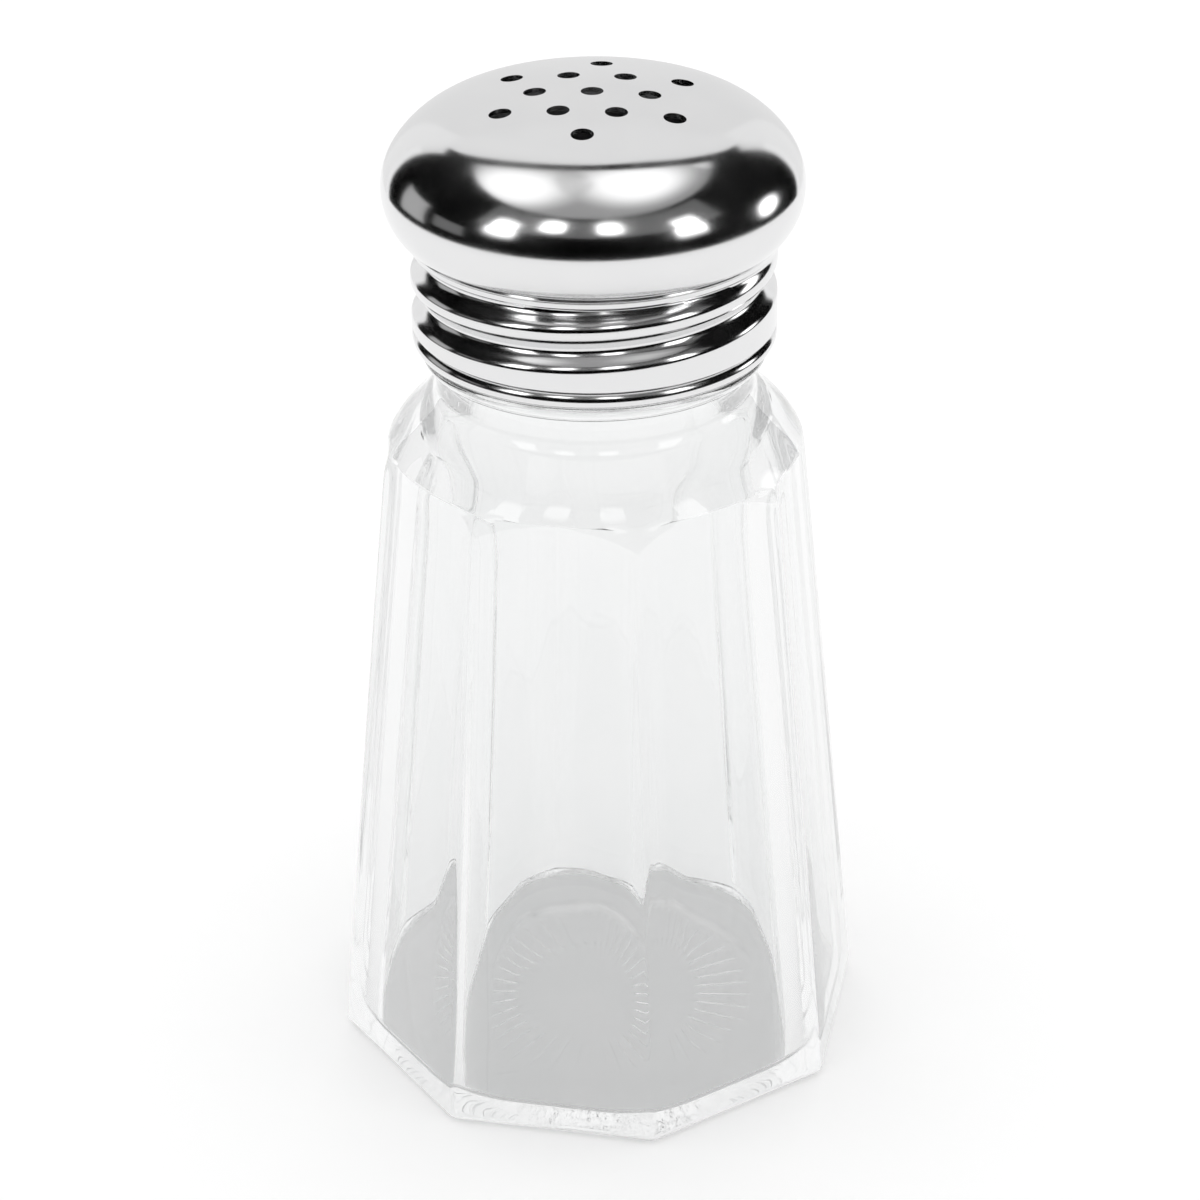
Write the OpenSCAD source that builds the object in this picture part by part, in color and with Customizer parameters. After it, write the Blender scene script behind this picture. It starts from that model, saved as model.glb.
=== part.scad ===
// Salt shaker: a panelled glass jar with a screw-on mushroom cap of chromed sheet metal.
// The origin is the middle of the foot, +Z is up and a panel faces -Y.

/* [Glass body] */
// Width across the flats at the foot
base_flats = 47.5; // [44:0.5:52]
// Width across the flats at the height of the shoulder
shoulder_flats = 36.7; // [35:0.1:40]
// Height at which the corners turn into the shoulder
shoulder_z = 60.5; // [50:0.1:70]
// Number of upright panels
panels = 8; // [8:1:12]
// Rounding of the upright corners
corner_r = 1; // [0.5:0.1:3]
// Rounding of the heel
heel_r = 1.2; // [0.6:0.1:2]
// Radius of the bend from the corners to the shoulder
shoulder_curve = 3.5; // [2:0.5:5]
// Lean of the shoulder from the upright, in degrees
shoulder_lean = 43.5; // [40:0.5:48]
// Glass thickness in the middle of a panel at the shoulder
shoulder_wall = 3; // [2.5:0.1:4.5]
// Glass thickness in the middle of a panel at the foot
foot_wall = 3; // [2.5:0.1:6]
// Rounding of the upright corners inside
cavity_corner = 10; // [6:0.5:13]
// Radius of the bend from the wall to the shoulder inside
cavity_curve = 7; // [3:0.5:7.5]
// Height of the cavity floor above the table
floor_t = 1.4; // [1.3:0.1:6]
// Rounding between the cavity floor and its wall
floor_round = 1; // [0.5:0.1:5]

/* [Glass foot] */
// Diameter of the hollow under the foot
hollow_d = 31; // [30:0.5:40]
// Depth of the hollow
hollow_h = 0.3; // [0.2:0.05:0.4]
// Number of grip ribs moulded in the hollow
ribs = 40; // [12:1:48]
// Diameter of the round of a grip rib
rib_d = 1; // [0.8:0.1:1.2]
// How far a grip rib stands out from the hollow
rib_h = 0.15; // [0.05:0.05:0.25]
// Length of a grip rib
rib_l = 5; // [2:0.1:6]
// Gap between the ribs and the edge of the hollow
rib_edge = 1.7; // [0.8:0.1:3]

/* [Glass neck] */
// Outer diameter of the neck
neck_d = 28.6; // [26:0.1:30]
// Glass thickness of the neck
neck_wall = 2.8; // [2:0.1:4]
// Fillet between the shoulder and the neck
neck_fillet = 2.5; // [1:0.1:3]
// Fillet between the shoulder and the neck inside
bore_fillet = 3; // [1:0.1:4]
// Plain neck between the fillet and the neck ring
neck_land = 1.95; // [0.5:0.05:3]
// Height of the neck ring that the cap comes down to
ring_h = 1.1; // [0.8:0.1:2]
// How far the neck ring stands out from the neck
ring_proud = 1.3; // [1.1:0.1:2]
// Height of the finish from the neck ring to the lip
finish_h = 10.3; // [9:0.1:14]

/* [Screw thread] */
// Rise of the thread in one turn
thread_pitch = 3.8; // [3.4:0.1:4.4]
// Height of the glass thread above the neck
thread_h = 0.95; // [0.7:0.05:1.2]
// Width of the glass thread at its root
thread_root = 2.2; // [1.6:0.1:2.4]
// Width of the glass thread at its crest
thread_crest = 1; // [0.6:0.1:1.4]
// Turns of thread on the glass
glass_turns = 1.25; // [1:0.05:1.5]
// How far the groove of the cap reaches behind the glass thread
thread_reach = 0.3; // [0.2:0.05:0.5]
// Gap along the axis between the groove and the glass thread
thread_gap = 0.3; // [0.2:0.05:0.6]
// Gap between the rolled rim and the crest of the glass thread
run_gap = 0.3; // [0.25:0.05:0.5]

/* [Cap] */
// Height of the cap from its rolled rim to its crown
cap_h = 23.25; // [22.5:0.05:28]
// Thickness of the sheet metal
sheet = 0.4; // [0.3:0.05:0.6]
// Gap between the rolled rim and the neck ring
seat_gap = 0.3; // [0.2:0.05:1]
// Depth of the groove that is rolled into the collar
groove_depth = 1.1; // [0.8:0.05:1.3]
// Half the width of the groove
groove_half = 1.7; // [1.2:0.05:1.8]
// Height of the groove's lower end above the rolled rim
groove_start = 2.72; // [2.7:0.02:4]
// Direction of the groove's lower end, in degrees from +X
groove_turn = 20; // [0:1:359]
// Radius of the bend between the collar and the dome
bend_r = 0.8; // [0.5:0.1:1.5]
// How far the dome stands out beyond the collar
dome_overhang = 2.35; // [1.5:0.05:4]
// Radius of the nearly flat crown
crown_r = 59.4; // [45:0.1:90]
// Radius of the curve round the crown
edge_r = 9.5; // [8:0.1:12]
// Radius of the roll at the widest part of the dome
roll_r = 5.7; // [5:0.1:6.5]
// Angle from the axis at which the edge curve becomes the roll
roll_from = 57; // [45:1:70]

/* [Holes] */
// Diameter of a hole
hole_d = 2; // [1:0.1:3]
// Distance between neighbouring holes
hole_pitch = 5.05; // [4:0.05:5.4]
// Direction of the rows of holes, in degrees from +X
hole_turn = 5.9; // [0:0.1:60]

/* [Hidden] */
$fn = 128;
glass_color = [0.86, 0.91, 0.92, 0.5];
chrome_color = [0.77, 0.78, 0.8];

// Half the width across the flats, and the reach of a rounded corner, at a height
half_panel = 180 / panels;
taper = (base_flats - shoulder_flats) / 2 / shoulder_z;
function apothem(z) = base_flats / 2 - taper * z;
function corner_reach(z) = (apothem(z) - corner_r) / cos(half_panel) + corner_r;

// Shoulder: a bend at the corners, a straight lean and a fillet to the neck
neck_r = neck_d / 2;
bore_r = neck_r - neck_wall;
shoulder_out = [cos(shoulder_lean), sin(shoulder_lean)];
shoulder_mid = [corner_reach(shoulder_z) - shoulder_curve, shoulder_z];
shoulder_reach = shoulder_mid * shoulder_out + shoulder_curve;
// Height at which a point beside the axis has a reach along the shoulder's outward direction
function lean_z(x, reach) = (reach - x * shoulder_out[0]) / shoulder_out[1];
neck_z = lean_z(neck_r + neck_fillet, shoulder_reach + neck_fillet);
fillet_mid = [neck_r + neck_fillet, neck_z];
corner_spare = 0.9;

// Neck ring and lip
ring_z = neck_z + neck_land;
ring_top = ring_z + ring_h;
ring_r = neck_r + ring_proud;
lip_z = ring_top + finish_h;
lip_r = neck_wall / 2;
lip_mid = [neck_r - lip_r, lip_z - lip_r];

// Cavity: softer panels inside the outer ones, under a shoulder that leans as the outer one does
wall_taper = (foot_wall - shoulder_wall) / shoulder_z;
function cavity_flat(z) = apothem(z) - foot_wall + wall_taper * z;
function cavity_side(z) = (cavity_flat(z) - cavity_corner) / cos(half_panel) + cavity_corner;
cavity_reach = shoulder_reach - shoulder_wall;
cavity_x = cavity_side(shoulder_z) - cavity_curve;
cavity_mid = [cavity_x, lean_z(cavity_x, cavity_reach - cavity_curve)];
bore_x = bore_r + bore_fillet;
bore_mid = [bore_x, lean_z(bore_x, cavity_reach + bore_fillet)];

// Cap radii follow the neck and its thread, and its heights follow the neck ring
thread_r = neck_r + thread_h;
collar_in = thread_r - thread_reach + groove_depth;
collar_r = collar_in + sheet;
rim_in = thread_r + run_gap;
rim_r = collar_r - rim_in;
rim_z = ring_top + seat_gap;
split_z = rim_z + 2 * rim_r;
crown_z = rim_z + cap_h;
dome_r = collar_r + dome_overhang;
crown_mid = [0, crown_z - crown_r];
edge_x = dome_r - roll_r - (edge_r - roll_r) * sin(roll_from);
edge_from = asin(edge_x / (crown_r - edge_r));
edge_mid = crown_mid + (crown_r - edge_r) * [sin(edge_from), cos(edge_from)];
roll_mid = edge_mid + (edge_r - roll_r) * [sin(roll_from), cos(roll_from)];
bend_from = asin((collar_r + bend_r - roll_mid[0]) / (roll_r + bend_r));
bend_mid = [collar_r + bend_r, roll_mid[1] - (roll_r + bend_r) * cos(bend_from)];
sheet_lap = 3;

// Rolled groove of the collar, in turns from its lower end; its upper end runs into the bend
groove_z = rim_z + groove_start;
groove_fade_in = 0.14;
groove_fade_out = 0.22;
groove_over = 0.5;
groove_turns = (bend_mid[1] + groove_over - groove_z) / thread_pitch;
foot_fade = 0.35;
head_fade = 0.7;

// The collar runs up into a plain stub of the dome, with its end a little thinner than the stub
stub_h = 0.4;
collar_top = bend_mid[1] - stub_h / 2;
end_ease = 0.08;
collar_sides = 60;
collar_rings = 20;

// Glass thread: it lies over the groove of the cap, a gap away along the axis
mesh_r = thread_r - thread_reach / 2;
groove_part = (collar_in - mesh_r) / groove_depth;
groove_reach = groove_half * acos(2 * groove_part - 1) / 180;
thread_width = thread_crest + (thread_root - thread_crest) * (thread_r - mesh_r) / thread_h;
thread_lift = groove_reach + thread_gap + thread_width / 2;
thread_lead = 0.25;
thread_sides = 60;
thread_sunk = 0.4;

function smooth(x) = let (c = min(max(x, 0), 1)) c * c * (3 - 2 * c);
function turn_part(x) = x - floor(x);

// Depth of the rolled groove at an angle and a height
function groove_turn_at(angle, z) =
    let (part = turn_part((angle - groove_turn) / 360))
    part + round((z - groove_z) / thread_pitch - part);
function groove_fade(s) =
    smooth(s / groove_fade_in) * smooth((groove_turns - s) / groove_fade_out);
function groove_shape(x) = abs(x) >= 1 ? 0 : (1 + cos(180 * x)) / 2;
function groove_at(angle, z) =
    let (
        s = groove_turn_at(angle, z),
        off = (z - groove_z - thread_pitch * s) / groove_half,
        ends = smooth((z - split_z) / foot_fade) * smooth((collar_top - stub_h - z) / head_fade)
    )
    groove_depth * groove_shape(off) * groove_fade(s) * ends;

// Triangles of the band between the n-sided rings i and i + 1
function ring_band(i, n) =
    [for (k = [0:n - 1]) let (a = i * n + k, b = i * n + (k + 1) % n)
        each [[a, a + n, b], [b, a + n, b + n]]];

// A solid of n-sided rings, stacked from the lowest to the highest
module ring_stack(rings) {
    n = len(rings[0]);
    polyhedron(
        points = [for (ring = rings) each ring],
        faces = concat(
            [[for (k = [0:n - 1]) k]],
            [for (i = [0:len(rings) - 2]) each ring_band(i, n)],
            [[for (k = [n - 1:-1:0]) (len(rings) - 1) * n + k]]
        )
    );
}

// Outline of a panelled body at a height, with flats at a distance and rounded corners
function panel_ring(z, flat, r, steps) =
    [for (k = [0:panels - 1], i = [0:steps])
        let (
            mid = -90 + half_panel * (2 * k + 1),
            turn = mid + half_panel * (2 * i / steps - 1),
            reach = (flat - r) / cos(half_panel)
        )
        [reach * cos(mid) + r * cos(turn), reach * sin(mid) + r * sin(turn), z]];

// Outside of the panels, with a rounded heel
module panelled_block() {
    heel_steps = 3;
    corner_steps = 3;
    ring_stack(concat(
        [for (i = [0:heel_steps])
            let (t = 90 * i / heel_steps, z = heel_r * (1 - cos(t)))
            panel_ring(z, apothem(z) - heel_r * (1 - sin(t)), corner_r, corner_steps)],
        [panel_ring(neck_z, apothem(neck_z), corner_r, corner_steps)],
        [panel_ring(lip_z + lip_r, apothem(neck_z) + ring_proud, corner_r, corner_steps)]
    ));
}

// Space between the panels, with a rounded floor
module cavity_block() {
    floor_steps = 5;
    corner_steps = 6;
    ring_stack(concat(
        [for (i = [0:floor_steps])
            let (t = 90 * i / floor_steps, z = floor_t + floor_round * (1 - cos(t)))
            panel_ring(z, cavity_flat(z) - floor_round * (1 - sin(t)), cavity_corner, corner_steps)],
        [panel_ring(neck_z, cavity_flat(neck_z), cavity_corner, corner_steps)]
    ));
}

// Half section up to a neck, wide enough below the shoulder to leave the corners whole
module shoulder_outline(low, mid, curve, top, fillet) {
    difference() {
        union() {
            polygon([
                [0, low[1]], low, mid + [curve, 0], mid + curve * shoulder_out,
                top - fillet * shoulder_out, top - [fillet, 0], [0, top[1]]
            ]);
            translate(mid)
                circle(curve);
        }
        translate(top)
            circle(fillet);
    }
}

module glass_outline() {
    low = [corner_reach(0) + corner_spare, 0];
    shoulder_outline(low, shoulder_mid, shoulder_curve, fillet_mid, neck_fillet);
    neck_outline();
}

module neck_outline() {
    translate([0, shoulder_z])
        square([neck_r, lip_mid[1] - shoulder_z]);
    square([lip_mid[0], lip_z]);
    translate(lip_mid)
        circle(lip_r);
    translate([0, ring_z])
        square([ring_r - ring_h / 2, ring_h]);
    translate([ring_r - ring_h / 2, ring_z + ring_h / 2])
        circle(ring_h / 2);
}

// Half section of the neck's bore and of the round mouth at the lip
module bore_outline() {
    translate([0, shoulder_z])
        square([bore_r, lip_mid[1] - shoulder_z]);
    difference() {
        translate([0, lip_mid[1]])
            square([lip_mid[0], 2 * lip_r]);
        translate(lip_mid)
            circle(lip_r);
    }
}

// Space inside the jar
module cavity() {
    low = [cavity_side(0) + corner_spare, 0];
    intersection() {
        cavity_block();
        rotate_extrude()
            shoulder_outline(low, cavity_mid, cavity_curve, bore_mid, bore_fillet);
    }
    rotate_extrude()
        bore_outline();
}

// Raised thread on the neck, which dies away into the neck at both ends
module glass_thread() {
    n = round(glass_turns * thread_sides);
    section = [
        for (i = [0:n])
            let (
                s = i / thread_sides - thread_lead,
                angle = groove_turn + 360 * s,
                mid = groove_z + thread_pitch * s + thread_lift,
                crest = i == 0 || i == n ? neck_r - thread_sunk / 2 : thread_r,
                root = neck_r - thread_sunk
            )
            [for (p = [
                [root, thread_root / 2], [crest, thread_crest / 2],
                [crest, -thread_crest / 2], [root, -thread_root / 2]
            ]) [p[0] * cos(angle), p[0] * sin(angle), mid + p[1]]]
    ];
    ring_stack(section);
}

module grip_ribs() {
    for (k = [0:ribs - 1])
        rotate([0, 0, 360 * k / ribs])
            translate([hollow_d / 2 - rib_edge - rib_l, 0, hollow_h - rib_h + rib_d / 2])
                rotate([0, 90, 0])
                    cylinder(d = rib_d, h = rib_l, $fn = 24);
}

// Pressed glass jar with its neck, neck ring and raised thread
module glass_jar() {
    color(glass_color) {
        difference() {
            intersection() {
                panelled_block();
                rotate_extrude()
                    glass_outline();
            }
            cavity();
            translate([0, 0, -hollow_h])
                cylinder(d = hollow_d, h = 2 * hollow_h);
        }
        grip_ribs();
        glass_thread();
    }
}

// Strip of sheet metal between two angles from the axis, on the arc round a middle
module sheet_arc(mid, outer, inner, from, to) {
    far = 2 * outer;
    intersection() {
        translate(mid)
            difference() {
                circle(outer);
                circle(inner);
            }
        polygon([mid, mid + far * [sin(from), cos(from)], mid + far * [sin(to), cos(to)]]);
    }
}

// Half section of the dome, in which each strip runs a few degrees into the larger one beside it
module dome_section() {
    sheet_arc(crown_mid, crown_r, crown_r - sheet, 0, edge_from);
    sheet_arc(edge_mid, edge_r, edge_r - sheet, edge_from - sheet_lap, roll_from);
    sheet_arc(roll_mid, roll_r, roll_r - sheet, roll_from - sheet_lap, 180 - bend_from);
    sheet_arc(bend_mid, bend_r + sheet, bend_r, -90, sheet_lap - bend_from);
    translate([collar_in, bend_mid[1] - stub_h])
        square([sheet, stub_h]);
}

// Places of the holes: one in the middle, six round it and six more at the points of a star
function hole_place(r, angle) = r * [cos(angle), sin(angle)];
hole_places = concat(
    [[0, 0]],
    [for (k = [0:5]) hole_place(hole_pitch, 60 * k + hole_turn)],
    [for (k = [0:5]) hole_place(hole_pitch * sqrt(3), 60 * k + 30 + hole_turn)]
);

// Collar wall, with the groove rolled into it as a right-hand screw
module threaded_collar() {
    last = collar_rings - 1;
    heights = [for (j = [0:last]) split_z + (collar_top - split_z) * j / last];
    ease = [for (j = [0:last]) j == last ? end_ease : 0];
    walls = concat(
        [for (j = [0:last]) collar_ring(heights[j], -ease[j], 0)],
        [for (j = [last:-1:0]) collar_ring(heights[j], ease[j], sheet)]
    );
    n = collar_sides;
    rings = len(walls);
    closing = [for (k = [0:n - 1])
        let (a = (rings - 1) * n + k, b = (rings - 1) * n + (k + 1) % n)
        each [[a, k, b], [b, k, (k + 1) % n]]];
    polyhedron(
        points = [for (ring = walls) each ring],
        faces = concat([for (i = [0:rings - 2]) each ring_band(i, n)], closing)
    );
}

function collar_ring(z, ease, inset) =
    [for (k = [0:collar_sides - 1])
        let (angle = 360 * k / collar_sides, r = collar_r - inset + ease - groove_at(angle, z))
        [r * cos(angle), r * sin(angle), z]];

// Chromed cap: perforated dome and threaded collar, drawn and rolled from one sheet
module cap() {
    color(chrome_color) {
        difference() {
            rotate_extrude()
                dome_section();
            for (p = hole_places)
                translate([p[0], p[1], roll_mid[1]])
                    cylinder(d = hole_d, h = crown_z, $fn = 32);
        }
        threaded_collar();
    }
}

// Bottom edge of the cap, rolled inwards to a smooth bead
module cap_rim() {
    mid = [rim_in, rim_z + rim_r];
    color(chrome_color)
        rotate_extrude() {
            sheet_arc(mid, rim_r, rim_r - sheet, 0, 90 + sheet_lap);
            sheet_arc(mid, rim_r, rim_r - sheet, 90, 180);
        }
}

glass_jar();
cap();
cap_rim();
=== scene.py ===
from math import asin, atan2, copysign, cos, floor, hypot, pi, radians, sin, sqrt, tan

import bmesh
import bpy
from mathutils import Matrix, Vector


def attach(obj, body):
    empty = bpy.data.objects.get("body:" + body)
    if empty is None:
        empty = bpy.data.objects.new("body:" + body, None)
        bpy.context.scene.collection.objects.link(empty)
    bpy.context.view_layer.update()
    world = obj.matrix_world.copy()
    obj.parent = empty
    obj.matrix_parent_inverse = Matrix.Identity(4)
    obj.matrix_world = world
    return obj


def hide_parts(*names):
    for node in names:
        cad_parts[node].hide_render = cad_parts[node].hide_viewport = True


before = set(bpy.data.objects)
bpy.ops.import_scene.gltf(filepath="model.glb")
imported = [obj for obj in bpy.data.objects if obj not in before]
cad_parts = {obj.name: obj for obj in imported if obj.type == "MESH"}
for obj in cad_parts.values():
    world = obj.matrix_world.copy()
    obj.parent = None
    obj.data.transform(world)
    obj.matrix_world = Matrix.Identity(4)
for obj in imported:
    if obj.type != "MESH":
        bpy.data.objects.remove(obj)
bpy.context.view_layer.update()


# Glass jar
# One piece of clear soda-lime glass, pressed in a mould: eight tapered panels under a leaning shoulder,
# a neck with a ring and a screw thread, and a foot with grip ribs in the shallow hollow under it.
MM = 0.001
panels = 8
foot_flats = 47.5
shoulder_flats = 36.7
shoulder_height = 60.5
corner_round = 1
corner_spare = 0.9
corner_crowding = 1.6
heel_round = 1.2
shoulder_curve = 3.5
shoulder_lean = radians(43.5)
shoulder_soft = 9
shoulder_wall = 3
foot_wall = 3
cavity_corner = 10
cavity_soft = 14
floor_height = 1.4
floor_round = 1
hollow_radius = 15.5
hollow_depth = 0.3
hollow_slope = radians(7)
ribs = 40
rib_width = 1
rib_height = 0.07
rib_length = 5
rib_edge = 1.7
neck_radius = 14.3
neck_wall = 2.8
neck_fillet = 2.5
bore_fillet = 3
neck_land = 1.95
neck_ring_height = 1.1
neck_ring_proud = 1.3
finish_height = 10.3
thread_pitch = 3.8
thread_height = 0.95
thread_root = 2.2
thread_crest = 1
thread_from = -0.25
thread_to = 1
thread_fade = 0.06
thread_above_groove = 1.304
neck_skin = 0.35
arch_round = 1.5
corner_arch_round = 0.6
sharp_edge = radians(50)

half_panel = pi / panels
panel_taper = (foot_flats - shoulder_flats) / 2 / shoulder_height
wall_taper = (foot_wall - shoulder_wall) / shoulder_height
shoulder_out = (cos(shoulder_lean), sin(shoulder_lean))


def apothem(z):
    """Half the width across the flats at a height."""
    return foot_flats / 2 - panel_taper * z


def cavity_flat(z):
    """The same for the softer panels inside."""
    return apothem(z) - foot_wall + wall_taper * z


def corner_reach(flat, rounding):
    """Distance of a rounded corner from the axis."""
    return (flat - rounding) / cos(half_panel) + rounding


def across_panel(angle):
    """Place of a direction across its panel, from -1 to 1 with 0 in the middle."""
    return (angle + pi / 2 + half_panel) / half_panel % 2 - 1


def panel_radius(angle, flat, rounding):
    """Radius of the rounded octagon with flats at that distance, in one direction."""
    from_middle = across_panel(angle) * half_panel
    from_corner = half_panel - abs(from_middle)
    reach = (flat - rounding) / cos(half_panel)
    round_from = atan2(rounding * sin(half_panel), reach + rounding * cos(half_panel))
    if from_corner >= round_from:
        return flat / cos(from_middle)
    return reach * cos(from_corner) + sqrt(rounding ** 2 - (reach * sin(from_corner)) ** 2)


def round_inset(height, rounding):
    """How far a rounded bottom edge draws a wall in, at a height above its lowest point."""
    below = min(max(rounding - height, 0), rounding)
    return rounding - sqrt(rounding ** 2 - below ** 2)


def soft_min(a, b, blend):
    """The smaller of two lengths, with a round blend where they are nearly equal."""
    near = max(blend - abs(a - b), 0) / blend
    return min(a, b) - near * near * blend / 4


def smooth_step(x):
    x = min(max(x, 0), 1)
    return x * x * (3 - 2 * x)


def line_to(wire, tip, x, z, steps=1):
    """Runs a half section on from its tip in a straight line."""
    start = tip.co.copy()
    for step in range(1, steps + 1):
        tip = bmesh.ops.extrude_vert_indiv(wire, verts=[tip])["verts"][0]
        tip.co = start.lerp(Vector((x, 0, z)), step / steps)
    return tip


def arc_round(wire, tip, middle, angle, steps):
    """Runs it on round a middle, clockwise where x is to the right and z is up."""
    swept = bmesh.ops.spin(
        wire, geom=[tip], cent=(middle[0], 0, middle[1]), axis=(0, 1, 0), angle=angle, steps=steps)
    return next(item for item in swept["geom_last"] if isinstance(item, bmesh.types.BMVert))


def turn_round(wire, steps):
    """Turns a half section round the axis into a closed shape."""
    bmesh.ops.spin(
        wire, geom=wire.verts[:] + wire.edges[:], cent=(0, 0, 0), axis=(0, 0, 1),
        angle=2 * pi, steps=steps, use_merge=True)
    close_up(wire)


def close_up(shape):
    """Merges points that meet and turns all faces outwards."""
    bmesh.ops.remove_doubles(shape, verts=shape.verts, dist=1e-3)
    bmesh.ops.recalc_face_normals(shape, faces=shape.faces)


def set_polar(vert, radius, angle):
    """Moves a point to a distance from the axis and a direction, at its own height."""
    vert.co.x = radius * cos(angle)
    vert.co.y = radius * sin(angle)


def add_piece(name, shape, material):
    """Makes an object of a shape drawn in millimetres."""
    bmesh.ops.scale(shape, vec=(MM, MM, MM), verts=shape.verts)
    mesh = bpy.data.meshes.new(name)
    shape.to_mesh(mesh)
    shape.free()
    mesh.shade_smooth()
    mesh.set_sharp_from_angle(angle=sharp_edge)
    mesh.materials.append(material)
    piece = bpy.data.objects.new(name, mesh)
    bpy.context.scene.collection.objects.link(piece)
    return piece


def linear(hex_colour):
    """Linear colour of an sRGB hex value."""
    channels = [int(hex_colour[i:i + 2], 16) / 255 for i in (1, 3, 5)]
    return [c / 12.92 if c <= 0.04045 else ((c + 0.055) / 1.055) ** 2.4 for c in channels] + [1]


def add_node(tree, kind, inputs, **settings):
    """Adds a node with its settings, and gives its sockets values or links."""
    node = tree.nodes.new(kind)
    for setting, value in settings.items():
        setattr(node, setting, value)
    for socket, value in inputs.items():
        if isinstance(value, bpy.types.NodeSocket):
            tree.links.new(value, node.inputs[socket])
        else:
            node.inputs[socket].default_value = value
    return node


def new_material(name):
    """An empty node material and its tree."""
    material = bpy.data.materials.new(name)
    material.use_nodes = True
    material.node_tree.nodes.clear()
    return material, material.node_tree


# Soda-lime glass, pressed and fire polished: clear and smooth, with a faint waviness from the mould
# that makes the lines seen through it waver, and hardly any colour.
glass_wave_mm = 9
glass_wave_deep_mm = 0.08
pressed_glass, tree = new_material("pressed_soda_lime_glass")
place = add_node(tree, "ShaderNodeTexCoord", {}).outputs["Object"]
waves = add_node(tree, "ShaderNodeTexNoise", {
    "Vector": place, "Scale": 1 / (glass_wave_mm * MM), "Detail": 1, "Roughness": 0.4})
tint = add_node(tree, "ShaderNodeMix", {
    "Factor": waves.outputs["Fac"], "A": linear("#F7F8F8"), "B": linear("#FBFBFB")}, data_type="RGBA")
wavy = add_node(tree, "ShaderNodeBump", {
    "Height": waves.outputs["Fac"], "Strength": 0.25, "Distance": glass_wave_deep_mm * MM})
glass = add_node(tree, "ShaderNodeBsdfPrincipled", {
    "Base Color": tint.outputs[2], "Roughness": 0, "IOR": 1.52, "Transmission Weight": 1,
    "Normal": wavy.outputs["Normal"]})
add_node(tree, "ShaderNodeOutputMaterial", {"Surface": glass.outputs["BSDF"]})


def lean_z(x, reach):
    """Height at which a point beside the axis has a reach along the shoulder's outward direction."""
    return (reach - x * shoulder_out[0]) / shoulder_out[1]


def along(middle, distance):
    """The point at a distance from a middle in the shoulder's outward direction."""
    return middle[0] + distance * shoulder_out[0], middle[1] + distance * shoulder_out[1]


def bend_middle(wall_x, lean, reach, curve):
    """Middle of a bend that runs on smoothly from a leaning wall into the shoulder."""
    wall_reach = wall_x * cos(lean)
    across = (wall_reach - curve) * sin(shoulder_lean) - (reach - curve) * sin(lean)
    x = across / sin(shoulder_lean - lean)
    return x, lean_z(x, reach - curve)


shoulder_mid = (corner_reach(apothem(shoulder_height), corner_round) - shoulder_curve, shoulder_height)
shoulder_reach = shoulder_mid[0] * shoulder_out[0] + shoulder_mid[1] * shoulder_out[1] + shoulder_curve
neck_z = lean_z(neck_radius + neck_fillet, shoulder_reach + neck_fillet)
fillet_mid = (neck_radius + neck_fillet, neck_z)
ring_z = neck_z + neck_land
ring_top = ring_z + neck_ring_height
ring_mid = (neck_radius + neck_ring_proud - neck_ring_height / 2, ring_z + neck_ring_height / 2)
lip_z = ring_top + finish_height
lip_round = neck_wall / 2
lip_mid = (neck_radius - lip_round, lip_z - lip_round)
bore_radius = neck_radius - neck_wall
cavity_reach = shoulder_reach - shoulder_wall
corner_lean = atan2(panel_taper, cos(half_panel))
foot_corner = corner_reach(apothem(0), corner_round)
bend_mid_out = bend_middle(foot_corner, corner_lean, shoulder_reach, shoulder_soft)
wall_lean = atan2(panel_taper - wall_taper, cos(half_panel))
cavity_foot = corner_reach(cavity_flat(0), cavity_corner)
cavity_mid = bend_middle(cavity_foot, wall_lean, cavity_reach, cavity_soft)
bore_x = bore_radius + bore_fillet
bore_mid = (bore_x, lean_z(bore_x, cavity_reach + bore_fillet))
floor_edge = floor_height + floor_round
floor_side = corner_reach(cavity_flat(floor_edge), cavity_corner) + corner_spare
floor_mid = (floor_side - floor_round, floor_edge)
ribs_in = hollow_radius - rib_edge - rib_length
ribs_out = hollow_radius - rib_edge
heel_mid = (foot_corner + corner_spare - heel_round, heel_round)
hollow_curve = hollow_depth / 2 / (1 - cos(hollow_slope))
hollow_run = hollow_curve * sin(hollow_slope)
jar_steps = panels * ribs

jar = bmesh.new()
tip = jar.verts.new((0, 0, hollow_depth))
tip = line_to(jar, tip, ribs_in - rib_width / 2, hollow_depth, 3)
tip = line_to(jar, tip, hollow_radius - hollow_run, hollow_depth, 14)
tip = arc_round(jar, tip, (hollow_radius - hollow_run, hollow_depth - hollow_curve), hollow_slope, 8)
tip = arc_round(jar, tip, (hollow_radius + hollow_run, hollow_curve), -hollow_slope, 8)
tip = line_to(jar, tip, heel_mid[0], 0)
tip = arc_round(jar, tip, heel_mid, -pi / 2, 8)
tip = line_to(
    jar, tip, bend_mid_out[0] + shoulder_soft * cos(corner_lean),
    bend_mid_out[1] + shoulder_soft * sin(corner_lean), 24)
tip = arc_round(jar, tip, bend_mid_out, corner_lean - shoulder_lean, 16)
tip = line_to(jar, tip, *along(fillet_mid, -neck_fillet), 14)
tip = arc_round(jar, tip, fillet_mid, shoulder_lean, 8)
tip = line_to(jar, tip, neck_radius, ring_z, 2)
tip = line_to(jar, tip, ring_mid[0], ring_z)
tip = arc_round(jar, tip, ring_mid, -pi, 10)
tip = line_to(jar, tip, neck_radius, ring_top)
tip = line_to(jar, tip, neck_radius, lip_mid[1], 40)
tip = arc_round(jar, tip, lip_mid, -pi / 2, 8)
turn_round(jar, jar_steps)

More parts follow.
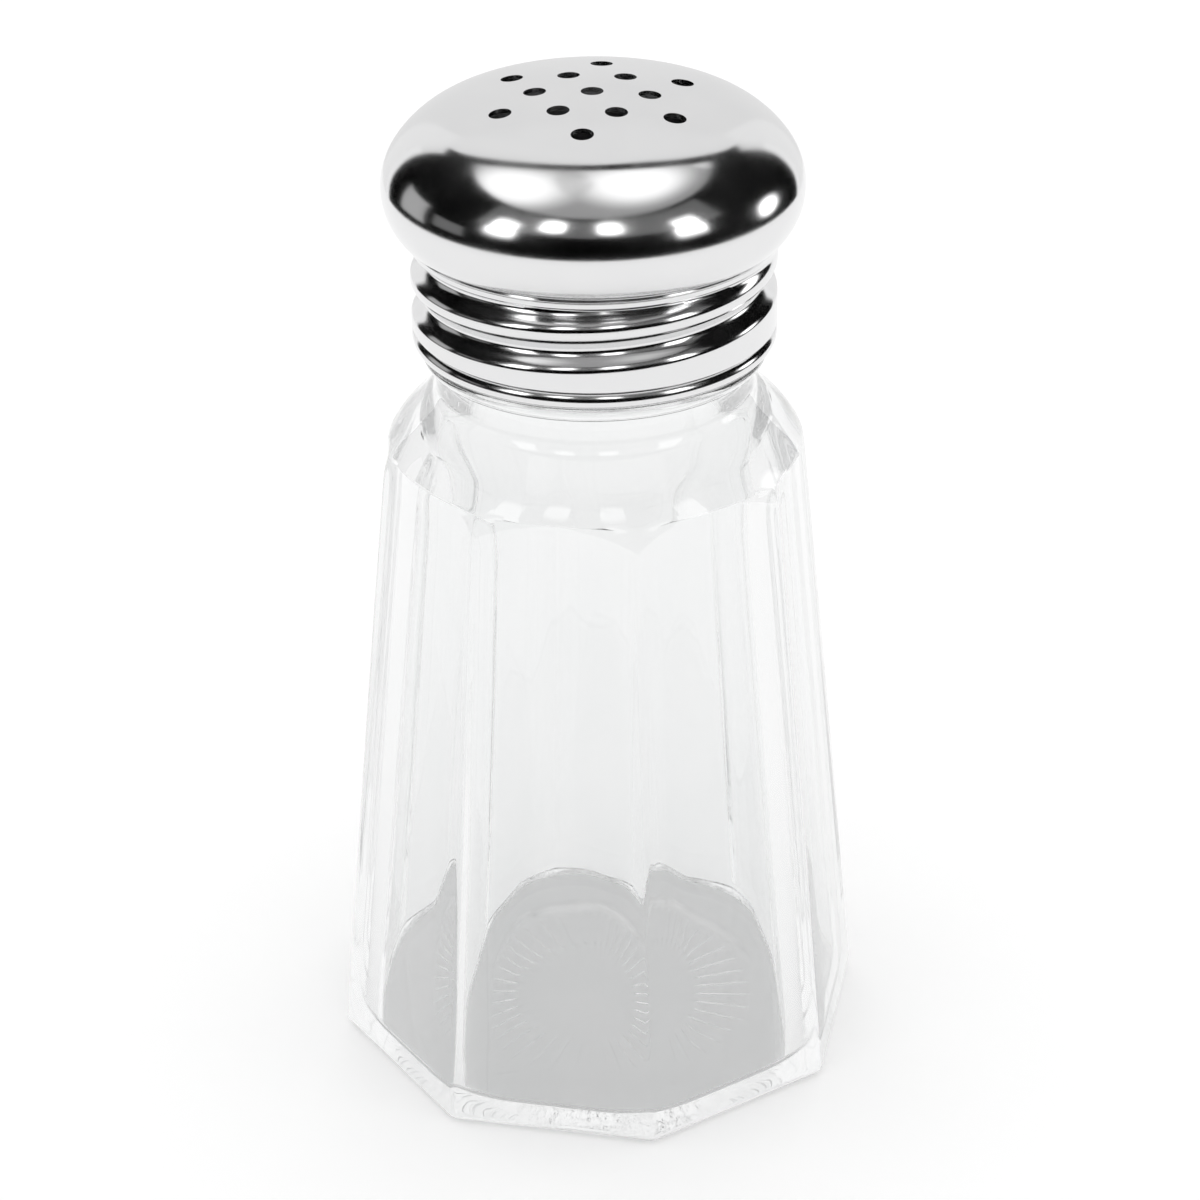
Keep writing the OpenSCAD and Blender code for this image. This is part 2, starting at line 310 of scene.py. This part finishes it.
inside = bmesh.new()
tip = inside.verts.new((lip_mid[0], 0, lip_z))
tip = arc_round(inside, tip, lip_mid, -pi / 2, 8)
tip = line_to(inside, tip, bore_radius, bore_mid[1], 6)
tip = arc_round(inside, tip, bore_mid, -shoulder_lean, 8)
tip = line_to(inside, tip, *along(cavity_mid, cavity_soft), 10)
tip = arc_round(inside, tip, cavity_mid, shoulder_lean - wall_lean, 16)
tip = line_to(inside, tip, floor_side, floor_edge, 16)
tip = arc_round(inside, tip, floor_mid, pi / 2, 10)
tip = line_to(inside, tip, 0, floor_height, 4)
turn_round(inside, jar_steps)

# The cap's rolled groove, which the glass thread lies over
seat_gap = 0.3
groove_rise = 2.72
groove_z = ring_top + seat_gap + groove_rise
groove_turn = radians(20)


def thread_ridge(angle, z):
    """How far the glass thread stands out from the neck."""
    part = (angle - groove_turn) / (2 * pi) % 1
    ridge = 0
    for turn in (part - 1, part, part + 1):
        off = abs(z - groove_z - thread_above_groove - thread_pitch * turn)
        side = (thread_root / 2 - off) / (thread_root - thread_crest) * 2
        ends = min(turn - thread_from, thread_to - turn) / thread_fade
        ridge = max(ridge, thread_height * smooth_step(side) * smooth_step(ends))
    return ridge


def rib_ridge(angle, radius):
    """How far a grip rib stands down into the hollow."""
    pitch = 2 * pi / ribs
    across = ((angle / pitch + 0.5) % 1 - 0.5) * pitch * radius
    beyond = max(ribs_in - radius, radius - ribs_out, 0)
    return rib_height * smooth_step(1 - hypot(across, beyond) / (rib_width / 2))


def nearer_corner(angle, z):
    """A direction slid round towards the nearest corner, so that the corners have points enough."""
    part = across_panel(angle)
    moved = copysign(1 - (1 - abs(part)) ** corner_crowding, part)
    return angle + (moved - part) * half_panel * smooth_step(2 * (neck_z - z) / (neck_z - shoulder_height))


for vert in jar.verts:
    radius = hypot(vert.co.x, vert.co.y)
    angle = atan2(vert.co.y, vert.co.x)
    z = vert.co.z
    if z < neck_z and radius > hollow_radius + hollow_run + heel_round:
        angle = nearer_corner(angle, z)
        flat = apothem(z) - round_inset(z, heel_round)
        blend = arch_round + (corner_arch_round - arch_round) * across_panel(angle) ** 2
        set_polar(vert, soft_min(radius, panel_radius(angle, flat, corner_round), blend), angle)
    elif z > ring_top and radius > neck_radius - neck_skin:
        set_polar(vert, radius + thread_ridge(angle, z), angle)
    elif radius < hollow_radius and z < floor_height:
        vert.co.z -= rib_ridge(angle, radius)

for vert in inside.verts:
    radius = hypot(vert.co.x, vert.co.y)
    angle = atan2(vert.co.y, vert.co.x)
    z = vert.co.z
    if z < bore_mid[1] and radius > 0:
        flat = cavity_flat(z) - round_inset(z - floor_height, floor_round)
        set_polar(vert, soft_min(radius, panel_radius(angle, flat, cavity_corner), arch_round), angle)

inside_mesh = bpy.data.meshes.new("inside")
inside.to_mesh(inside_mesh)
inside.free()
jar.from_mesh(inside_mesh)
bpy.data.meshes.remove(inside_mesh)
close_up(jar)

pressed_jar = add_piece("pressed_jar", jar, pressed_glass)
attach(pressed_jar, "jar")
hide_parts("glass_jar")


# Rolled rim
# The bottom edge of the cap's steel sheet, curled inwards on a lathe to a round bead so that no raw edge
# shows, and chrome plated with the rest of the cap.
sheet = 0.4
rim_z = ring_top + seat_gap
collar_radius = 16.45
rim_inner = 15.55
rim_round = collar_radius - rim_inner
split_z = rim_z + 2 * rim_round
cap_steps = 320

# Bright chrome over nickel on drawn steel: a mirror with a slight grey, softened a little by handling
# and by the shallow waves that drawing leaves in the sheet.
cloud_mm = 6
draw_wave_mm = 14
draw_wave_deep_mm = 0.05
chrome_plate, tree = new_material("bright_chrome_plate")
place = add_node(tree, "ShaderNodeTexCoord", {}).outputs["Object"]
clouds = add_node(tree, "ShaderNodeTexNoise", {
    "Vector": place, "Scale": 1 / (cloud_mm * MM), "Detail": 4, "Roughness": 0.6})
dulling = add_node(tree, "ShaderNodeMapRange", {
    "Value": clouds.outputs["Fac"], "From Min": 0.3, "From Max": 0.7, "To Min": 0.11, "To Max": 0.17})
shine = add_node(tree, "ShaderNodeMix", {
    "Factor": clouds.outputs["Fac"], "A": linear("#E6E6E7"), "B": linear("#EEEEEE")}, data_type="RGBA")
draw_waves = add_node(tree, "ShaderNodeTexNoise", {
    "Vector": place, "Scale": 1 / (draw_wave_mm * MM), "Detail": 0})
drawn = add_node(tree, "ShaderNodeBump", {
    "Height": draw_waves.outputs["Fac"], "Strength": 0.3, "Distance": draw_wave_deep_mm * MM})
chrome = add_node(tree, "ShaderNodeBsdfPrincipled", {
    "Base Color": shine.outputs[2], "Metallic": 1, "Roughness": dulling.outputs["Result"],
    "Normal": drawn.outputs["Normal"]})
add_node(tree, "ShaderNodeOutputMaterial", {"Surface": chrome.outputs["BSDF"]})

rim_mid = (rim_inner, rim_z + rim_round)
rim = bmesh.new()
first = rim.verts.new((rim_inner, 0, split_z))
tip = arc_round(rim, first, rim_mid, pi, 24)
tip = line_to(rim, tip, rim_inner, rim_z + sheet)
tip = arc_round(rim, tip, rim_mid, -pi, 16)
rim.edges.new((tip, first))
turn_round(rim, cap_steps)

rolled_rim = add_piece("rolled_rim", rim, chrome_plate)
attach(rolled_rim, "rim")
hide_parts("cap_rim")


# Cap
# One disc of the same sheet, drawn into a mushroom dome and pierced with thirteen pouring holes. A groove
# rolled round its collar is the screw thread that grips the glass.
cap_height = 23.25
dome_overhang = 2.35
bend_round = 0.8
crown_round = 59.4
edge_round = 9.5
roll_round = 5.7
roll_from = radians(57)
crease_round = 0.25
groove_depth = 1.1
groove_half = 1.7
groove_fade_in = 0.14
groove_fade_out = 0.22
groove_over = 0.5
foot_fade = 0.35
head_fade = 0.7
hole_size = 2
punch_length = 9.5
hole_pitch = 5.05
hole_turn = radians(5.9)

crown_z = rim_z + cap_height
dome_radius = collar_radius + dome_overhang
collar_inside = collar_radius - sheet
crown_mid = (0, crown_z - crown_round)
edge_x = dome_radius - roll_round - (edge_round - roll_round) * sin(roll_from)
edge_from = asin(edge_x / (crown_round - edge_round))
edge_mid = (edge_x, crown_mid[1] + (crown_round - edge_round) * cos(edge_from))
roll_mid = (
    edge_mid[0] + (edge_round - roll_round) * sin(roll_from),
    edge_mid[1] + (edge_round - roll_round) * cos(roll_from))
bend_from = asin((collar_radius + bend_round - roll_mid[0]) / (roll_round + bend_round))
bend_mid = (collar_radius + bend_round, roll_mid[1] - (roll_round + bend_round) * cos(bend_from))
groove_turns = (bend_mid[1] + groove_over - groove_z) / thread_pitch

cap = bmesh.new()
tip = cap.verts.new((0, 0, crown_z))
tip = arc_round(cap, tip, crown_mid, edge_from, 12)
tip = arc_round(cap, tip, edge_mid, roll_from - edge_from, 16)
tip = arc_round(cap, tip, roll_mid, pi - bend_from - roll_from, 24)
tip = arc_round(cap, tip, bend_mid, bend_from - pi / 2, 8)
tip = line_to(cap, tip, collar_radius, split_z + crease_round, 44)
tip = arc_round(cap, tip, (collar_radius - crease_round, split_z + crease_round), pi / 2, 4)
tip = line_to(cap, tip, collar_inside, split_z)
tip = line_to(cap, tip, collar_inside, bend_mid[1], 44)
tip = arc_round(cap, tip, bend_mid, pi / 2 - bend_from, 8)
tip = arc_round(cap, tip, roll_mid, bend_from + roll_from - pi, 24)
tip = arc_round(cap, tip, edge_mid, edge_from - roll_from, 16)
tip = arc_round(cap, tip, crown_mid, -edge_from, 12)
turn_round(cap, cap_steps)


def groove_at(angle, z):
    """Depth of the rolled groove, which fades out at both ends."""
    part = (angle - groove_turn) / (2 * pi) % 1
    turn = part + floor((z - groove_z) / thread_pitch - part + 0.5)
    off = min(abs(z - groove_z - thread_pitch * turn) / groove_half, 1)
    fade = smooth_step(turn / groove_fade_in) * smooth_step((groove_turns - turn) / groove_fade_out)
    ends = smooth_step((z - split_z) / foot_fade) * smooth_step((bend_mid[1] - z) / head_fade)
    return groove_depth * (1 + cos(pi * off)) / 2 * fade * ends


for vert in cap.verts:
    radius = hypot(vert.co.x, vert.co.y)
    angle = atan2(vert.co.y, vert.co.x)
    z = vert.co.z
    if z < bend_mid[1] and radius > collar_inside - sheet / 2:
        set_polar(vert, radius - groove_at(angle, z), angle)

# Steel inside the cap, grey and dull, coloured darker than the chrome outside: painted shade that keeps
# the inside of the dome and the pouring holes dark.
inside_painted_shade, tree = new_material("inside_steel_painted_shade")
place = add_node(tree, "ShaderNodeTexCoord", {}).outputs["Object"]
clouds = add_node(tree, "ShaderNodeTexNoise", {
    "Vector": place, "Scale": 1 / (cloud_mm * MM), "Detail": 4, "Roughness": 0.6})
# Dark greys of the painted shade inside the cap
shaded_greys = add_node(tree, "ShaderNodeMix", {
    "Factor": clouds.outputs["Fac"], "A": linear("#5E5E5F"), "B": linear("#747474")}, data_type="RGBA")
dull = add_node(tree, "ShaderNodeBsdfPrincipled", {
    "Base Color": shaded_greys.outputs[2], "Metallic": 1, "Roughness": 0.45})
add_node(tree, "ShaderNodeOutputMaterial", {"Surface": dull.outputs["BSDF"]})

# Faces that look into the dome take the darker steel, the painted shade inside the cap
dome_middle = Vector((0, 0, roll_mid[1]))
for face in cap.faces:
    face.normal_update()
    out = face.calc_center_median() - dome_middle
    if face.normal.dot(out) < 0 and out.z > split_z - roll_mid[1]:
        face.material_index = 1

drawn_cap = add_piece("drawn_cap", cap, chrome_plate)
drawn_cap.data.materials.append(inside_painted_shade)

punches = bmesh.new()
hole_places = [(0, 0)]
for sixth in range(6):
    hole_places.append((hole_pitch, hole_turn + sixth * pi / 3))
    hole_places.append((hole_pitch * sqrt(3), hole_turn + (sixth + 0.5) * pi / 3))
for reach, angle in hole_places:
    bmesh.ops.create_cone(
        punches, cap_ends=True, segments=48, radius1=hole_size / 2, radius2=hole_size / 2,
        depth=punch_length,
        matrix=Matrix.Translation((reach * cos(angle), reach * sin(angle), crown_z)))
punch = add_piece("punch", punches, chrome_plate)
pierced = drawn_cap.modifiers.new("pierced", "BOOLEAN")
pierced.operation = "DIFFERENCE"
pierced.solver = "EXACT"
pierced.object = punch
bpy.context.view_layer.update()
evaluated_cap = drawn_cap.evaluated_get(bpy.context.evaluated_depsgraph_get())
pierced_mesh = bpy.data.meshes.new_from_object(evaluated_cap)
drawn_cap.modifiers.clear()
drawn_cap.data = pierced_mesh
pierced_mesh.shade_smooth()
pierced_mesh.set_sharp_from_angle(angle=sharp_edge)
bpy.data.objects.remove(punch)
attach(drawn_cap, "cap")
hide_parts("cap")


# Table and studio
# A white table top in a white room, with dark walls, bright windows and lamps that are seen only in chrome
# and glass, and a camera above the table.
camera_place = (0.0583, -0.2825, 0.2024)
camera_turn = radians(11.61)
camera_tilt = radians(61.34)
camera_roll = radians(-0.56)
camera_lens_mm = 104.9
camera_sensor_mm = 36
camera_heading = atan2(camera_place[1], camera_place[0])
studio_turn = camera_heading + pi / 2
table_half_mm = 3000
table_gap_mm = 0.05
table_lift = 0.42
table_lift_in_shine = 0.37
shine_z = 0.09
wall_radius = 0.33
grey_radius = 0.328
window_radius = 0.325
ceiling_z = 1.09
ceiling_grey = "#A0A0A0"
wall_grey = "#3C3C3C"
window_spread = 1.5
window_strength = 2.5
lamp_strength = 1.3
lamp_drop = 0.01
glass_bounces = 64

# Matt white paint, lifted to plain white for the camera and for what is seen in chrome and glass. It keeps
# the shadow.
table_paint, tree = new_material("white_table_paint")
rays = add_node(tree, "ShaderNodeLightPath", {})
shown = add_node(tree, "ShaderNodeMath", {
    0: rays.outputs["Is Glossy Ray"], 1: rays.outputs["Is Transmission Ray"]}, operation="MAXIMUM")
lift_shown = add_node(tree, "ShaderNodeMath", {
    0: shown.outputs[0], 1: table_lift_in_shine}, operation="MULTIPLY")
lift = add_node(tree, "ShaderNodeMath", {
    0: rays.outputs["Is Camera Ray"], 1: table_lift, 2: lift_shown.outputs[0]}, operation="MULTIPLY_ADD")
paint = add_node(tree, "ShaderNodeBsdfPrincipled", {
    "Base Color": linear("#CECECE"), "Roughness": 0.9, "Emission Color": linear("#FFFFFF"),
    "Emission Strength": lift.outputs[0]})
add_node(tree, "ShaderNodeOutputMaterial", {"Surface": paint.outputs["BSDF"]})

top = bmesh.new()
bmesh.ops.create_grid(top, x_segments=1, y_segments=1, size=table_half_mm)
bmesh.ops.translate(top, vec=(0, 0, -table_gap_mm), verts=top.verts)
table_top = add_piece("table_top", top, table_paint)


def add_card(name, shape, middle_colour, edge_colour, strength=1):
    """A card seen only in shiny surfaces, with one colour at its middle and one at its edge."""
    material, tree = new_material(name)
    place = add_node(tree, "ShaderNodeTexCoord", {}).outputs["Object"]
    middle = add_node(tree, "ShaderNodeTexGradient", {"Vector": place}, gradient_type="SPHERICAL")
    soft = add_node(tree, "ShaderNodeMapRange", {
        "Value": middle.outputs["Fac"], "From Min": 0, "From Max": 0.6}, interpolation_type="SMOOTHSTEP")
    colour = add_node(tree, "ShaderNodeMix", {
        "Factor": soft.outputs["Result"], "A": linear(edge_colour), "B": linear(middle_colour)},
        data_type="RGBA")
    glow = add_node(tree, "ShaderNodeEmission", {"Color": colour.outputs[2], "Strength": strength})
    add_node(tree, "ShaderNodeOutputMaterial", {"Surface": glow.outputs["Emission"]})
    card = add_piece(name, shape, material)
    card.visible_camera = False
    card.visible_diffuse = False
    card.visible_transmission = False
    card.visible_shadow = False
    card.visible_volume_scatter = False
    return card


def wall_card(name, hex_colour, radius, az_from, az_to, el_from, el_to):
    """An upright curved card between two directions and two heights, seen from the cap."""
    start = camera_heading + radians(az_from)
    wall = bmesh.new()
    low, high = (wall.verts.new((
        radius * cos(start) / MM, radius * sin(start) / MM,
        max(shine_z + radius * tan(radians(el)), 0) / MM)) for el in (el_from, el_to))
    edge = wall.edges.new((low, high))
    bmesh.ops.spin(
        wall, geom=[low, high, edge], cent=(0, 0, 0), axis=(0, 0, 1),
        angle=radians(az_to - az_from), steps=24)
    add_card(name, wall, hex_colour, hex_colour)


def ceiling_card(name, hex_colour, z, x_from, x_to, y_from, y_to):
    """A flat card overhead, with x to the camera's right and y away from it."""
    flat = bmesh.new()
    bmesh.ops.create_grid(flat, x_segments=1, y_segments=1, size=0.5)
    bmesh.ops.scale(flat, vec=((x_to - x_from) / MM, (y_to - y_from) / MM, 1), verts=flat.verts)
    bmesh.ops.translate(
        flat, vec=((x_from + x_to) / 2 / MM, (y_from + y_to) / 2 / MM, z / MM), verts=flat.verts)
    bmesh.ops.rotate(
        flat, cent=(0, 0, 0), matrix=Matrix.Rotation(studio_turn, 3, "Z"), verts=flat.verts)
    add_card(name, flat, hex_colour, hex_colour)


def soft_disc(name, place, wide, deep, edge_colour, strength):
    """A round white card that fades at its edge, at a place and stretched both ways."""
    disc = bmesh.new()
    bmesh.ops.create_circle(disc, cap_ends=True, segments=48, radius=1 / MM)
    card = add_card(name, disc, "#FFFFFF", edge_colour, strength)
    card.matrix_world = place @ Matrix.Diagonal((wide, deep, 1, 1))


def soft_lamp(name, x, y, wide, deep):
    """A lamp overhead that fades into the ceiling."""
    place = Matrix.Rotation(studio_turn, 4, "Z") @ Matrix.Translation((x, y, ceiling_z - lamp_drop))
    soft_disc(name, place, wide, deep, ceiling_grey, lamp_strength)


def soft_window(name, az_from, az_to, el_from, el_to):
    """A bright window that fades into the wall, between two directions and two heights."""
    low, high = (window_radius * tan(radians(el)) for el in (el_from, el_to))
    place = (
        Matrix.Rotation(camera_heading + radians(az_from + az_to) / 2, 4, "Z")
        @ Matrix.Translation((window_radius, 0, shine_z + (low + high) / 2))
        @ Matrix.Rotation(pi / 2, 4, "Y"))
    wide = window_radius * tan(radians(az_to - az_from) / 2)
    tall = (high - low) / 2
    soft_disc(name, place, window_spread * tall, window_spread * wide, wall_grey, window_strength)


def beam_card(name, hex_colour, z, y_middle, radius, width, half_angle):
    """A curved bar overhead, bent away from the camera round a middle behind the object."""
    bar = bmesh.new()
    start = -pi / 2 - half_angle
    near, far = (bar.verts.new((
        reach * cos(start) / MM, (y_middle + reach * sin(start)) / MM, z / MM))
        for reach in (radius, radius - width))
    edge = bar.edges.new((near, far))
    bmesh.ops.spin(
        bar, geom=[near, far, edge], cent=(0, y_middle / MM, 0), axis=(0, 0, 1),
        angle=2 * half_angle, steps=24)
    bmesh.ops.rotate(
        bar, cent=(0, 0, 0), matrix=Matrix.Rotation(studio_turn, 3, "Z"), verts=bar.verts)
    add_card(name, bar, hex_colour, hex_colour)


# Directions count from the camera's, counter-clockwise from above, and heights from level, in degrees
wall_card("dark_wall", "#000000", wall_radius, -135, 135, -40, 50)
wall_card("back_wall", "#F4F4F4", wall_radius, 140, 220, -20, 35)
wall_card("back_wall_middle", "#EAEAEA", grey_radius, 155, 205, -20, 35)
wall_card("window_wall", "#6A6A6A", grey_radius, -66, 74, 22, 47)
wall_card("far_left_wall", "#707070", grey_radius, -90, -70, -4, 9)
soft_window("window_far_left", -64, -37, 12, 36)
soft_window("window_left", -33, -14, 29, 45)
soft_window("window_right", -1, 20, 28, 45)
soft_window("window_far_right", 32, 74, 10, 35)
soft_window("lamp_right", 95, 110, -6, 10)
wall_card("lamp_left", "#B0B0B0", window_radius, -118, -97, -9, 14)
ceiling_card("ceiling", ceiling_grey, ceiling_z, -1.6, 1.6, -1.2, 0.4)
ceiling_card("ceiling_behind", "#EEEEEE", ceiling_z, -1.6, 1.6, 0.4, 2)
soft_lamp("lamp_over_left", -0.5, 0, 0.5, 0.55)
soft_lamp("lamp_over_right", 0.25, 0, 0.45, 0.55)
beam_card(
    "dark_beam", "#000000", ceiling_z - 2 * lamp_drop,
    y_middle=1.3, radius=0.99, width=0.16, half_angle=radians(75))

world = bpy.data.worlds.new("white_room")
world.use_nodes = True
world.node_tree.nodes.clear()
sky = add_node(world.node_tree, "ShaderNodeBackground", {"Color": linear("#FFFFFF"), "Strength": 1})
add_node(world.node_tree, "ShaderNodeOutputWorld", {"Surface": sky.outputs["Background"]})
bpy.context.scene.world = world
bpy.context.scene.view_settings.view_transform = "Standard"

# Light goes to and fro many times in thick glass before it comes out
light_paths = bpy.context.scene.cycles
light_paths.max_bounces = glass_bounces
light_paths.glossy_bounces = glass_bounces
light_paths.transmission_bounces = glass_bounces

lens = bpy.data.cameras.new("camera")
lens.sensor_width = camera_sensor_mm
lens.lens = camera_lens_mm
camera = bpy.data.objects.new("camera", lens)
camera.matrix_world = (
    Matrix.Translation(camera_place) @ Matrix.Rotation(camera_turn, 4, "Z")
    @ Matrix.Rotation(camera_tilt, 4, "X") @ Matrix.Rotation(camera_roll, 4, "Z"))
bpy.context.scene.collection.objects.link(camera)
bpy.context.scene.camera = camera
